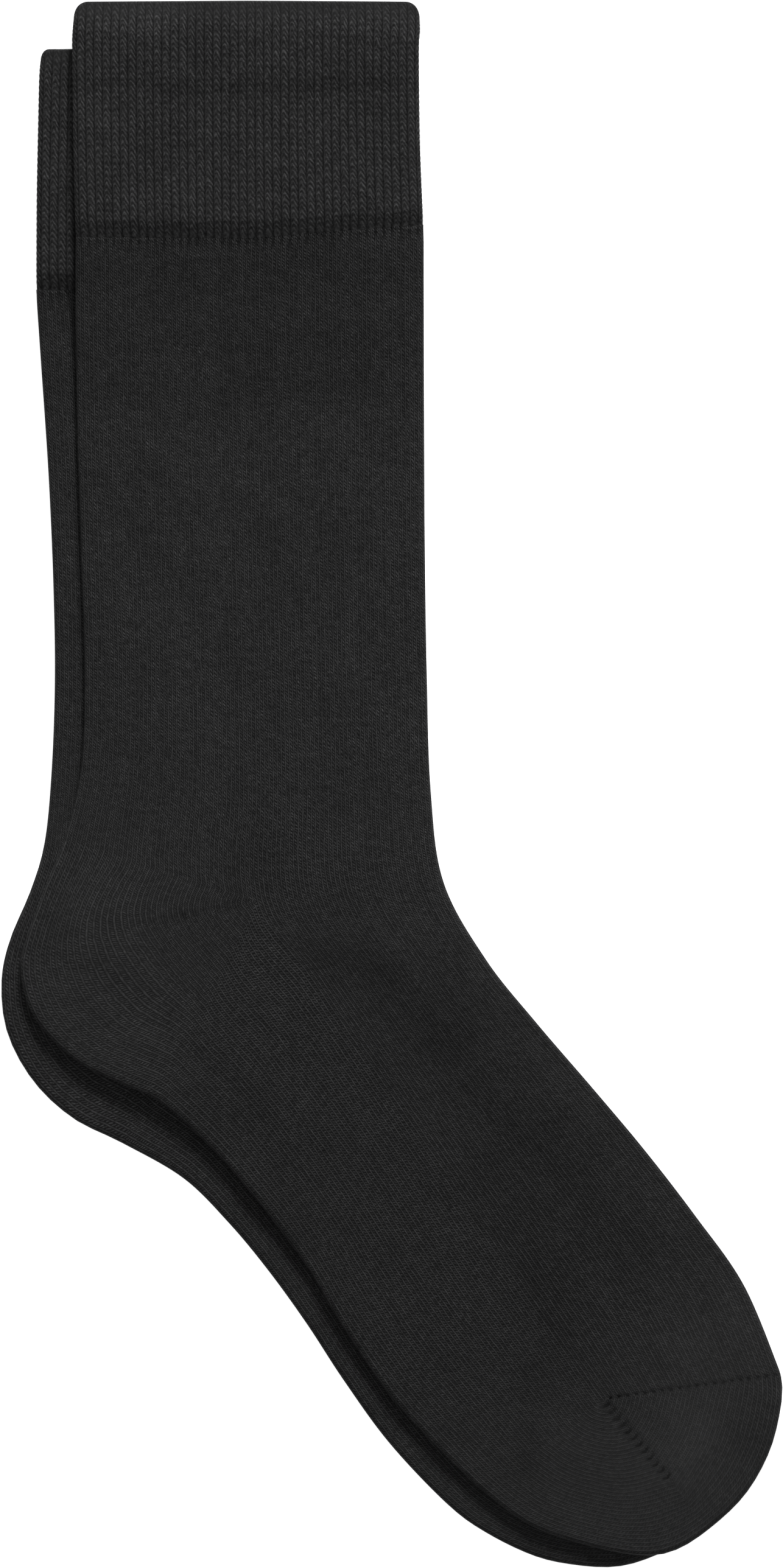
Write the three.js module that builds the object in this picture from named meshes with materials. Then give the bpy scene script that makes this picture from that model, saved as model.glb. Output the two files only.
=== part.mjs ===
// A pair of knitted crew socks laid flat, one on the other. Millimetres, Z up from the table.
// X runs across the leg towards the instep, Y runs up the leg, and the toes point down and to the right.
// Each sock is a flattened tube: an upper and a lower wall that meet in a rounded fold at both edges.

import * as THREE from "three";

const SEAM_GAP = 0.3;
const BODY = { wall: 1.1, hollow: 0.6 };
const CUFF = { wall: 1.6, hollow: 0.6, ribs: 42, ribHeight: 0.3, cornerRadius: 4.8 };
const RIB_PROFILE = [
  { place: 0, height: 0 },
  { place: 0.3, height: 1 },
  { place: 0.7, height: 1 },
];

// The sock on top lies on the lower one, follows its thicker cuff and sags past its edges.
const LIE = { clearance: 0.3, sag: 2.0, sagStart: 2.5, sagReach: 12, easeStart: 7, easeLength: 14 };

// A loop round the tube is a fold, a wall, a fold and a wall, and these are the folds' and walls' shares.
const FOLD_SHARE = 0.1;
const WALL_SHARE = 0.4;
const ARC_STEPS = 4;
const PIVOT_RADIUS = 1.2;
const FAN_PLACES = [0, 0.2, 0.4, 0.6, 0.8];
const PARTS_TO_MIDDLE = [0.12, 0.35, 0.65, 1];
const FROM_FRONT = [36, 26, 18, 14, 11, 8, 5.5, 3];
const CLOTH = { color: 0x262626, roughness: 0.95, metalness: 0 };

// Sections of each sock from the mouth to the toe. Rear is the edge down the calf, round the heel and
// along the sole, front is the edge down the shin and the instep, and middle is the wale between them.
// Heel and toe rows are rays from a pivot, the end of the course where the pocket starts, to the edge.
const TOP_SOCK = {
  cuff: [
    { rear: [-86.0, 211.9], middle: [-39.2, 212.2], front: [7.6, 211.9] },
    { rear: [-86.4, 204.6], middle: [-39.2, 204.8], front: [7.8, 204.9] },
    { rear: [-86.5, 197.7], middle: [-39.2, 197.7], front: [7.5, 197.7] },
    { rear: [-86.2, 172.9], middle: [-39.2, 172.9], front: [7.8, 173.7] },
    { rear: [-85.6, 147.7], middle: [-43.3, 146.5], front: [8.7, 151.1] },
  ],
  leg: [
    { rear: [-85.6, 147.7], middle: [-43.3, 146.5], front: [8.7, 151.1] },
    { rear: [-85.6, 130.0], middle: [-39.2, 129.2], front: [8.7, 131.7] },
    { rear: [-85.2, 97.0], middle: [-38.4, 96.7], front: [8.8, 97.8] },
    { rear: [-84.2, 64.0], middle: [-37.7, 63.2], front: [9.0, 64.0] },
    { rear: [-83.2, 31.0], middle: [-37.0, 29.4], front: [9.5, 31.0] },
    { rear: [-84.1, 4.6], middle: [-36.5, -2.0], front: [10.6, -2.0] },
    { rear: [-88.5, -14.9], middle: [-36.2, -31.7], front: [14.1, -26.7] },
  ],
  heel: {
    pivot: [-36.2, -31.7],
    edge: [
      [-88.5, -14.9],
      [-93.6, -27.6],
      [-99.2, -43.2],
      [-100.2, -53.1],
      [-95.8, -64.7],
      [-85.4, -74.9],
      [-73.0, -81.2],
      [-63.1, -85.8],
    ],
  },
  foot: [
    { rear: [-63.1, -85.8], middle: [-36.2, -31.7], front: [14.1, -26.7] },
    { rear: [-49.1, -98.3], middle: [-22.2, -51.8], front: [25.5, -47.5] },
    { rear: [-35.9, -113.4], middle: [-9.0, -71.0], front: [39.2, -64.7] },
    { rear: [-24.0, -129.0], middle: [4.2, -90.1], front: [54.5, -82.5] },
    { rear: [-13.6, -146.4], middle: [17.4, -109.2], front: [68.6, -99.3] },
    { rear: [-1.1, -164.8], middle: [30.6, -128.4], front: [82.4, -117.2] },
    { rear: [11.8, -179.2], middle: [43.8, -147.5], front: [95.6, -136.1] },
    { rear: [26.0, -192.6], middle: [57.0, -166.5], front: [105.5, -159.9] },
  ],
  toe: {
    pivot: [57.0, -166.5],
    edge: [
      [26.0, -192.6],
      [38.4, -201.3],
      [52.4, -206.1],
      [67.2, -208.9],
      [77.1, -207.4],
      [87.0, -201.0],
      [96.1, -192.1],
      [102.7, -180.2],
      [105.8, -167.0],
      [105.5, -159.9],
    ],
  },
};
const LOWER_SOCK = {
  cuff: [
    { rear: [-95.1, 199.3], middle: [-48.6, 199.5], front: [-1.4, 199.0] },
    { rear: [-95.6, 191.9], middle: [-48.6, 191.9], front: [-1.6, 191.9] },
    { rear: [-95.9, 179.5], middle: [-48.8, 179.5], front: [-1.7, 179.5] },
    { rear: [-96.3, 158.1], middle: [-49.0, 158.1], front: [-1.6, 158.1] },
    { rear: [-96.4, 133.7], middle: [-51.6, 132.7], front: [-1.1, 136.3] },
  ],
  leg: [
    { rear: [-96.4, 133.7], middle: [-51.6, 132.7], front: [-1.1, 136.3] },
    { rear: [-95.0, 113.5], middle: [-47.9, 113.2], front: [0.7, 114.3] },
    { rear: [-93.0, 83.8], middle: [-46.3, 83.5], front: [0.9, 84.6] },
    { rear: [-91.7, 54.1], middle: [-45.1, 53.3], front: [1.2, 54.9] },
    { rear: [-91.3, 27.7], middle: [-44.6, 26.1], front: [1.6, 28.5] },
    { rear: [-92.2, 3.0], middle: [-44.3, -3.6], front: [2.6, -3.6] },
    { rear: [-94.1, -16.0], middle: [-44.0, -33.7], front: [6.2, -29.4] },
  ],
  heel: {
    pivot: [-44.0, -33.7],
    edge: [
      [-94.1, -16.0],
      [-97.8, -28.7],
      [-103.7, -42.9],
      [-105.8, -54.8],
      [-104.0, -68.0],
      [-96.9, -80.9],
      [-86.2, -90.8],
      [-73.0, -97.4],
    ],
  },
  foot: [
    { rear: [-73.0, -97.4], middle: [-44.0, -33.7], front: [6.2, -29.4] },
    { rear: [-56.5, -106.9], middle: [-30.4, -55.1], front: [16.4, -51.5] },
    { rear: [-44.1, -119.1], middle: [-17.6, -74.3], front: [29.6, -70.5] },
    { rear: [-33.4, -132.0], middle: [-4.7, -93.7], front: [44.1, -89.1] },
    { rear: [-23.0, -146.4], middle: [8.2, -112.9], front: [58.2, -106.6] },
    { rear: [-12.8, -162.0], middle: [21.0, -132.0], front: [71.9, -124.4] },
    { rear: [-0.4, -179.0], middle: [33.9, -151.1], front: [85.1, -143.2] },
    { rear: [15.3, -195.5], middle: [46.8, -170.0], front: [95.1, -165.3] },
  ],
  toe: {
    pivot: [46.8, -170.0],
    edge: [
      [15.3, -195.5],
      [26.0, -203.3],
      [39.2, -209.6],
      [50.7, -212.0],
      [60.6, -212.4],
      [68.9, -210.4],
      [77.1, -206.3],
      [85.4, -198.7],
      [92.0, -188.1],
      [95.0, -175.2],
      [95.1, -165.3],
    ],
  },
};
const RINGS = { leg: 9, foot: 10 };
const RAYS = { heel: 11, toe: 13 };

const halfOf = (cloth) => cloth.wall + cloth.hollow / 2;
const mix = (a, b, t) => [a[0] + (b[0] - a[0]) * t, a[1] + (b[1] - a[1]) * t];
const distance = (a, b) => Math.hypot(b[0] - a[0], b[1] - a[1]);
const moved = (a, b, length) => mix(a, b, length / distance(a, b));
const smooth = (t) => (1 - Math.cos(Math.PI * Math.min(Math.max(t, 0), 1))) / 2;
const widthOf = ({ rear, middle, front }) => distance(rear, middle) + distance(middle, front);

// A smooth curve through all the points, at the place t counted in points.
function through(points, t) {
  const last = points.length - 1;
  const i = Math.min(Math.floor(t), last - 1);
  const f = t - i;
  const [a, b, c, d] = [i - 1, i, i + 1, i + 2].map((k) => points[Math.min(Math.max(k, 0), last)]);
  return [0, 1].map(
    (k) =>
      b[k] +
      0.5 * f * (c[k] - a[k] + f * (2 * a[k] - 5 * b[k] + 4 * c[k] - d[k] + f * (3 * (b[k] - c[k]) + d[k] - a[k]))),
  );
}

// The rear edge runs on without a break from the leg to the toe, and the front edge from leg to foot.
function edgesOf(sock) {
  const rear = [
    ...sock.leg.map((row) => row.rear),
    ...sock.heel.edge.slice(1),
    ...sock.foot.slice(1).map((row) => row.rear),
    ...sock.toe.edge.slice(1),
  ];
  const front = [...sock.leg, ...sock.foot.slice(1)].map((row) => row.front);
  const heelStart = sock.leg.length - 1;
  const footStart = heelStart + sock.heel.edge.length - 1;
  const toeStart = footStart + sock.foot.length - 1;
  return { rear, front, heelStart, footStart, toeStart, end: rear.length - 1 };
}

function outlineOf(sock) {
  const { rear, front } = edgesOf(sock);
  const cuffRear = sock.cuff.slice(0, -1).map((row) => row.rear);
  const cuffFront = sock.cuff.slice(0, -1).map((row) => row.front);
  return [...cuffRear, ...rear, ...front.reverse().slice(1), ...cuffFront.reverse()];
}

function distanceOutside(point, outline) {
  let inside = false;
  let nearest = Infinity;
  outline.forEach((a, i) => {
    const b = outline[(i + 1) % outline.length];
    const along = ((point[0] - a[0]) * (b[0] - a[0]) + (point[1] - a[1]) * (b[1] - a[1])) / distance(a, b) ** 2;
    nearest = Math.min(nearest, distance(point, mix(a, b, Math.min(Math.max(along, 0), 1))));
    const crosses = a[1] > point[1] !== b[1] > point[1];
    if (crosses && point[0] < a[0] + ((point[1] - a[1]) * (b[0] - a[0])) / (b[1] - a[1])) inside = !inside;
  });
  return inside ? 0 : nearest;
}

// The height of the lower wall's outer face: the table, or what the sock on top lies on.
const onTable = () => 0;
const lowerOutline = outlineOf(LOWER_SOCK);
const lowerCuffEnd = LOWER_SOCK.cuff.at(-1).middle[1];
const overBody = 2 * halfOf(BODY) + LIE.clearance;
const overCuff = 2 * halfOf(CUFF) + CUFF.ribHeight + LIE.clearance;

function onLowerSock(point) {
  const overLip = smooth(1 + (point[1] - lowerCuffEnd + LIE.easeStart) / LIE.easeLength);
  const past = distanceOutside(point, lowerOutline) - LIE.sagStart;
  return overBody + (overCuff - overBody) * overLip - LIE.sag * smooth(past / LIE.sagReach);
}

// The loop round a flattened tube: each stop has its distance from the rear edge, its level from -1 below
// to 1 above, the rise of a rib and its place round the loop. An inner loop has the same fold centres.
function loopOf(width, half, radius, walls) {
  const loop = [];
  const fold = (centre, side, start) => {
    for (let i = 0; i <= ARC_STEPS; i += 1) {
      const angle = Math.PI * (i / ARC_STEPS - 0.5);
      const across = centre + side * radius * Math.cos(angle);
      loop.push({ across, level: -side * Math.sin(angle), rise: 0, place: start + (FOLD_SHARE * i) / ARC_STEPS });
    }
  };
  const wall = (stops, level, start) =>
    stops.forEach(({ across, rise }) => {
      const part = (across - half) / (width - 2 * half);
      loop.push({ across, level, rise, place: start + WALL_SHARE * (level > 0 ? part : 1 - part) });
    });
  fold(half, -1, 0);
  wall(walls.upper, 1, FOLD_SHARE);
  fold(width - half, 1, FOLD_SHARE + WALL_SHARE);
  wall([...walls.lower].reverse(), -1, 2 * FOLD_SHARE + WALL_SHARE);
  return loop;
}

function plainStops(section) {
  const toMiddle = distance(section.rear, section.middle);
  const fromFront = FROM_FRONT.map((from) => widthOf(section) - from);
  return [...PARTS_TO_MIDDLE.map((part) => part * toMiddle), ...fromFront].map((across) => ({ across, rise: 0 }));
}

function ribStops(section, half, { ribs, ribHeight }) {
  const pitch = (widthOf(section) - 2 * half) / ribs;
  const stops = Array.from({ length: ribs }, (_, rib) =>
    RIB_PROFILE.map(({ place, height }) => ({ across: half + (rib + place) * pitch, rise: height * ribHeight })),
  );
  return stops.flat().slice(1);
}

// A point of a section, which runs straight from the rear edge to the middle and on to the front edge.
function acrossSection({ rear, middle, front }, across) {
  const toMiddle = distance(rear, middle);
  if (across < toMiddle) return mix(rear, middle, across / toMiddle);
  return mix(middle, front, (across - toMiddle) / distance(middle, front));
}

class Skin {
  constructor() {
    this.points = [];
    this.faces = [];
  }

  row(points) {
    const start = this.points.length;
    this.points.push(...points);
    return points.map((_, i) => start + i);
  }

  triangle(a, b, c, flip) {
    this.faces.push(flip ? [a, c, b] : [a, b, c]);
  }

  // A closed band between two rows with the same number of points.
  band(rowA, rowB, flip) {
    rowA.forEach((a, i) => {
      const next = (i + 1) % rowA.length;
      this.triangle(a, rowA[next], rowB[next], flip);
      this.triangle(a, rowB[next], rowB[i], flip);
    });
  }

  // A ring-shaped end between an outer and an inner loop, joined by their places round the loop.
  rim(outer, inner, outerPlaces, innerPlaces, flip) {
    let i = 0;
    let k = 0;
    const placeAt = (places, index) => (index < places.length ? places[index] : 1);
    while (i < outer.length || k < inner.length) {
      const a = outer[i % outer.length];
      const b = inner[k % inner.length];
      const turnOuter = k >= inner.length || placeAt(outerPlaces, i + 1) <= placeAt(innerPlaces, k + 1);
      if (i < outer.length && turnOuter) {
        this.triangle(outer[(i + 1) % outer.length], a, b, flip);
        i += 1;
      } else {
        this.triangle(b, inner[(k + 1) % inner.length], a, flip);
        k += 1;
      }
    }
  }

  // The end of a fan, whose loop holds the outer points and then the inner ones in reverse.
  wallEnd(loop, flip) {
    const half = loop.length / 2;
    const inner = (i) => loop[loop.length - 1 - i];
    for (let i = 0; i + 1 < half; i += 1) {
      this.triangle(loop[i + 1], loop[i], inner(i), flip);
      this.triangle(loop[i + 1], inner(i), inner(i + 1), flip);
    }
  }

  volume() {
    return this.faces.reduce((sum, [a, b, c]) => {
      const [p, q, r] = [a, b, c].map((i) => this.points[i]);
      return sum + p.dot(new THREE.Vector3().crossVectors(q, r)) / 6;
    }, 0);
  }

  geometry() {
    const outward = this.volume() > 0;
    const geometry = new THREE.BufferGeometry();
    const index = this.faces.flatMap(([a, b, c]) => (outward ? [a, b, c] : [a, c, b]));
    geometry.setAttribute(
      "position",
      new THREE.Float32BufferAttribute(this.points.flatMap((p) => [p.x, p.y, p.z]), 3),
    );
    geometry.setIndex(index);
    geometry.computeVertexNormals();
    return geometry;
  }
}

// A hollow tube through sections. The first section of a cuff is its mouth, with rounded corners.
function tubeGeometry(sections, cloth, under) {
  const half = halfOf(cloth);
  const skin = new Skin();
  const loops = sections.map((section, i) => {
    const width = widthOf(section);
    const lower = plainStops(section);
    const upper = cloth.ribs ? ribStops(section, half, cloth) : lower;
    const corner = i === 0 && cloth.cornerRadius ? cloth.cornerRadius : 0;
    const made = (radius, walls) =>
      loopOf(width, half, radius, walls).map(({ across, level, rise, place }) => {
        const [x, y] = acrossSection(section, across);
        const inCorner = Math.max(corner - Math.min(across, width - across), 0);
        const drop = corner - Math.sqrt(corner ** 2 - inCorner ** 2);
        const z = under([x, y - drop]) + half + level * radius + rise;
        return { point: new THREE.Vector3(x, y - drop, z), place };
      });
    return { outer: made(half, { upper, lower }), inner: made(cloth.hollow / 2, { upper: lower, lower }) };
  });
  const rows = loops.map((loop) => ({
    outer: skin.row(loop.outer.map((stop) => stop.point)),
    inner: skin.row(loop.inner.map((stop) => stop.point)),
  }));
  for (let i = 0; i + 1 < rows.length; i += 1) {
    skin.band(rows[i].outer, rows[i + 1].outer, false);
    skin.band(rows[i].inner, rows[i + 1].inner, true);
  }
  [0, rows.length - 1].forEach((i) => {
    const placesOf = (loop) => loop.map((stop) => stop.place);
    skin.rim(rows[i].outer, rows[i].inner, placesOf(loops[i].outer), placesOf(loops[i].inner), i > 0);
  });
  return skin.geometry();
}

// A heel or toe pocket: an upper wall, a fold along the edge and a lower wall, fanned about the pivot.
function pocketGeometry(pivot, edge, cloth, under) {
  const half = halfOf(cloth);
  const skin = new Skin();
  const rows = edge.map((edgePoint) => {
    const start = moved(pivot, edgePoint, PIVOT_RADIUS);
    const length = distance(start, edgePoint);
    const side = (radius) => {
      const centre = length - half;
      const stops = FAN_PLACES.map((place) => ({ along: place * centre, level: 1 }));
      for (let i = 0; i <= ARC_STEPS; i += 1) {
        const angle = Math.PI * (0.5 - i / ARC_STEPS);
        stops.push({ along: centre + radius * Math.cos(angle), level: Math.sin(angle) });
      }
      stops.push(...[...FAN_PLACES].reverse().map((place) => ({ along: place * centre, level: -1 })));
      return stops.map(({ along, level }) => {
        const at = mix(start, edgePoint, along / length);
        return new THREE.Vector3(at[0], at[1], under(at) + half + level * radius);
      });
    };
    return skin.row([...side(half), ...side(cloth.hollow / 2).reverse()]);
  });
  for (let i = 0; i + 1 < rows.length; i += 1) skin.band(rows[i], rows[i + 1], false);
  skin.wallEnd(rows[0], false);
  skin.wallEnd(rows.at(-1), true);
  return skin.geometry();
}

// Evenly spaced sections between the first and last rows of a leg or foot.
function sectionsOf(rows, edges, rearStart, frontStart, count) {
  return Array.from({ length: count + 1 }, (_, i) => {
    const t = (i / count) * (rows.length - 1);
    return {
      rear: through(edges.rear, rearStart + t),
      middle: through(rows.map((row) => row.middle), t),
      front: through(edges.front, frontStart + t),
    };
  });
}

const backedOff = (section, neighbour, gap = SEAM_GAP) => ({
  rear: moved(section.rear, neighbour.rear, gap),
  middle: moved(section.middle, neighbour.middle, gap),
  front: moved(section.front, neighbour.front, gap),
});

function edgeBetween(edges, from, to, count) {
  return Array.from({ length: count + 1 }, (_, i) => through(edges.rear, from + ((to - from) * i) / count));
}

function buildSock(name, sock, under) {
  const edges = edgesOf(sock);
  const leg = sectionsOf(sock.leg, edges, 0, 0, RINGS.leg);
  const foot = sectionsOf(sock.foot, edges, edges.footStart, edges.heelStart, RINGS.foot);
  [leg, foot].forEach((sections) => {
    const ends = [backedOff(sections[0], sections[1]), backedOff(sections.at(-1), sections.at(-2))];
    sections[0] = ends[0];
    sections[sections.length - 1] = ends[1];
  });
  const heelEdge = edgeBetween(edges, edges.heelStart, edges.footStart, RAYS.heel);
  const toeEdge = edgeBetween(edges, edges.toeStart, edges.end, RAYS.toe);
  const geometries = {
    cuff: tubeGeometry(sock.cuff, CUFF, under),
    leg: tubeGeometry(leg, BODY, under),
    heel: pocketGeometry(sock.heel.pivot, heelEdge, BODY, under),
    foot: tubeGeometry(foot, BODY, under),
    toe: pocketGeometry(sock.toe.pivot, toeEdge, BODY, under),
  };
  const group = new THREE.Group();
  Object.entries(geometries).forEach(([piece, geometry]) => {
    const mesh = new THREE.Mesh(geometry, new THREE.MeshStandardMaterial(CLOTH));
    mesh.name = `${name}_${piece}`;
    group.add(mesh);
  });
  return group;
}

const pair = new THREE.Group();
pair.add(buildSock("top_sock", TOP_SOCK, onLowerSock));
pair.add(buildSock("lower_sock", LOWER_SOCK, onTable));

export default pair;
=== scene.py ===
# A pair of charcoal knitted crew socks laid flat, one on the other, seen from straight above.
# Lengths are in millimetres until a mesh is made, which is in metres. X runs across the leg towards the
# instep, Y up the leg and Z up from the table.

import bmesh
import bpy
import numpy as np
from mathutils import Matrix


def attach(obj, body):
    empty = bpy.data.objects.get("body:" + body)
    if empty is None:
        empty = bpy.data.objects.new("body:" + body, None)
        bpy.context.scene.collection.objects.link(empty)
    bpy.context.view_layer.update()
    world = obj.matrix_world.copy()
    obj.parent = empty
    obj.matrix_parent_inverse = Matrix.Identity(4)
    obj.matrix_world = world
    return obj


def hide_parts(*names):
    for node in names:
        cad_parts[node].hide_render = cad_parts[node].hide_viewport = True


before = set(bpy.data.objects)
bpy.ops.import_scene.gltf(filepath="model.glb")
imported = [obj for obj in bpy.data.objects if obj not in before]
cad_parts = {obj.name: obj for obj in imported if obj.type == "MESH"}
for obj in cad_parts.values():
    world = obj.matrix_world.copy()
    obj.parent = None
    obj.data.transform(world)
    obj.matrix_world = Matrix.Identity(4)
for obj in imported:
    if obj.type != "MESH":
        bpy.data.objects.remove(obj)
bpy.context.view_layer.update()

MM = 0.001

# The cloth of a flattened tube: two walls with a low hollow between them, folded round at both edges.
BODY = {"wall": 1.1, "hollow": 0.6}
CUFF = {"wall": 1.6, "hollow": 0.6}

# The knit: 168 wales round the body and 84 broader columns round the cuff.
HALF_WALES = 42
COURSE = 0.91
HALF_COLUMNS = 21
CUFF_COURSE = 1.62
WALE_RELIEF = 0.1
CUFF_RELIEF = 0.3
# How much deeper a furrow is than the cloth round it, where it is at full strength.
FURROW_DEPTH = 0.12
# How far the stitches of two columns may be shifted against each other, in courses.
COLUMN_SHIFT = 0.5
# These two turn a whole number into a scattered one, for the mesh and the materials alike.
SCATTER_TURN = 12.9898
SCATTER_SCALE = 43758.5453

# Smooth curves are traced in this many steps before places along them are taken.
CURVE_STEPS = 400
CHORD_STEPS = 200
# Places from the fold to the middle on the plain inner walls, closer together at the fold.
COARSE = np.concatenate([[0, 0.004, 0.01], np.linspace(0.03, 1, 12)])
# Points of a mesh that are closer than this, in metres, are joined.
WELD = 1e-5

# The sock on top lies on the lower one, follows its thicker cuff and sags past its edges.
LIE = {"clearance": 0.3, "rib": 0.3, "sag": 2.0, "sag_start": 2.5, "sag_reach": 12.0,
       "ease_start": 7.0, "ease_length": 14.0}

# Sections from the mouth to the toe: rear edge, middle wale and front edge. Heel and toe are pockets
# about a pivot: their edge, the run of a wale near the pivot up to the gore, and from the gore on. The
# corners of the mouth are rounded. Fuzz stands on the folds round some centres, with half widths along
# X and Y and a strength: it stands a little proud, and its lighter colour is a painted sheen.
TOP_SOCK = {
    "cuff": [
        [(-86.0, 211.9), (-39.2, 212.2), (7.6, 211.9)],
        [(-86.4, 204.6), (-39.2, 204.8), (7.8, 204.9)],
        [(-86.5, 197.7), (-39.2, 197.7), (7.5, 197.7)],
        [(-86.2, 172.9), (-39.2, 172.9), (7.8, 173.7)],
        [(-85.6, 147.7), (-39.0, 147.2), (8.7, 151.1)],
    ],
    "leg": [
        [(-85.6, 147.7), (-39.0, 147.2), (8.7, 151.1)],
        [(-85.6, 130.0), (-39.2, 129.2), (8.7, 131.7)],
        [(-85.2, 97.0), (-38.4, 96.7), (8.8, 97.8)],
        [(-84.2, 64.0), (-37.7, 63.2), (9.0, 64.0)],
        [(-83.2, 31.0), (-37.0, 29.4), (9.5, 31.0)],
        [(-84.1, 4.6), (-36.5, -2.0), (10.6, -2.0)],
        [(-88.5, -14.9), (-36.2, -31.7), (14.1, -26.7)],
    ],
    "heel": {
        "pivot": (-36.2, -31.7),
        "edge": [(-88.5, -14.9), (-93.6, -27.6), (-99.2, -43.2), (-100.2, -53.1), (-95.8, -64.7),
                 (-85.4, -74.9), (-73.0, -81.2), (-63.1, -85.8)],
        "before_gore": [(-88.5, -14.9), (-95.0, -43.9)],
        "after_gore": [(-95.0, -43.9), (-63.1, -85.8)],
    },
    "foot": [
        [(-63.1, -85.8), (-36.2, -31.7), (14.1, -26.7)],
        [(-49.1, -98.3), (-22.2, -51.8), (25.5, -47.5)],
        [(-35.9, -113.4), (-9.0, -71.0), (39.2, -64.7)],
        [(-24.0, -129.0), (4.2, -90.1), (54.5, -82.5)],
        [(-13.6, -146.4), (17.4, -109.2), (68.6, -99.3)],
        [(-1.1, -164.8), (30.6, -128.4), (82.4, -117.2)],
        [(11.8, -179.2), (43.8, -147.5), (95.6, -136.1)],
        [(26.0, -192.6), (57.0, -166.5), (105.5, -159.9)],
    ],
    "toe": {
        "pivot": (57.0, -166.5),
        "edge": [(26.0, -192.6), (38.4, -201.3), (52.4, -206.1), (67.2, -208.9), (77.1, -207.4),
                 (87.0, -201.0), (96.1, -192.1), (102.7, -180.2), (105.8, -167.0), (105.5, -159.9)],
        "before_gore": [(26.0, -192.6), (38.4, -201.3), (52.4, -206.1), (68.9, -208.2), (87.4, -203.3)],
        "after_gore": [(87.4, -203.3), (98.6, -184.4), (105.5, -159.9)],
    },
    "corner_radius": 3.9,
    "fuzz_and_sheen": [((-90.0, -26.0), (16.0, 26.0), 0.9), ((70.0, -207.0), (16.0, 8.0), 0.7),
             ((-76.0, -78.0), (18.0, 12.0), 0.4)],
}
LOWER_SOCK = {
    "cuff": [
        [(-95.1, 199.3), (-48.6, 199.5), (-1.4, 199.0)],
        [(-95.6, 191.9), (-48.6, 191.9), (-1.6, 191.9)],
        [(-95.9, 179.5), (-48.8, 179.5), (-1.7, 179.5)],
        [(-96.3, 158.1), (-49.0, 158.1), (-1.6, 158.1)],
        [(-96.4, 133.7), (-48.6, 133.0), (-1.1, 136.3)],
    ],
    "leg": [
        [(-96.4, 133.7), (-48.6, 133.0), (-1.1, 136.3)],
        [(-95.0, 113.5), (-47.9, 113.2), (0.7, 114.3)],
        [(-93.0, 83.8), (-46.3, 83.5), (0.9, 84.6)],
        [(-91.7, 54.1), (-45.1, 53.3), (1.2, 54.9)],
        [(-91.3, 27.7), (-44.6, 26.1), (1.6, 28.5)],
        [(-92.2, 3.0), (-44.3, -3.6), (2.6, -3.6)],
        [(-94.1, -16.0), (-44.0, -33.7), (6.2, -29.4)],
    ],
    "heel": {
        "pivot": (-44.0, -33.7),
        "edge": [(-94.1, -16.0), (-97.8, -28.7), (-103.7, -42.9), (-105.8, -54.8), (-104.0, -68.0),
                 (-96.9, -80.9), (-86.2, -90.8), (-73.0, -97.4)],
        "before_gore": [(-94.1, -16.0), (-101.5, -47.0)],
        "after_gore": [(-101.5, -47.0), (-73.0, -97.4)],
    },
    "foot": [
        [(-73.0, -97.4), (-44.0, -33.7), (6.2, -29.4)],
        [(-56.5, -106.9), (-30.4, -55.1), (16.4, -51.5)],
        [(-44.1, -119.1), (-17.6, -74.3), (29.6, -70.5)],
        [(-33.4, -132.0), (-4.7, -93.7), (44.1, -89.1)],
        [(-23.0, -146.4), (8.2, -112.9), (58.2, -106.6)],
        [(-12.8, -162.0), (21.0, -132.0), (71.9, -124.4)],
        [(-0.4, -179.0), (33.9, -151.1), (85.1, -143.2)],
        [(15.3, -195.5), (46.8, -170.0), (95.1, -165.3)],
    ],
    "toe": {
        "pivot": (46.8, -170.0),
        "edge": [(15.3, -195.5), (26.0, -203.3), (39.2, -209.6), (50.7, -212.0), (60.6, -212.4),
                 (68.9, -210.4), (77.1, -206.3), (85.4, -198.7), (92.0, -188.1), (95.0, -175.2),
                 (95.1, -165.3)],
        "before_gore": [(15.3, -195.5), (26.0, -203.3), (39.2, -209.6), (55.0, -212.0), (77.0, -207.5)],
        "after_gore": [(77.0, -207.5), (86.0, -187.0), (95.1, -165.3)],
    },
    "corner_radius": 2.4,
    "fuzz_and_sheen": [((-104.0, -60.0), (12.0, 30.0), 0.2)],
}

# Where the gore of short rows ends, as a part of the way from the pivot to the edge, how far the wales
# beyond it are moved towards the edge, and how many courses the pocket has before and after the gore.
GORE_REACH = {"heel": 0.5, "toe": 0.63}
CROWDING = {"heel": 0.035, "toe": 0.0}
POCKET_COURSES = {"heel": (32, 60), "toe": (62, 46)}
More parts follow.
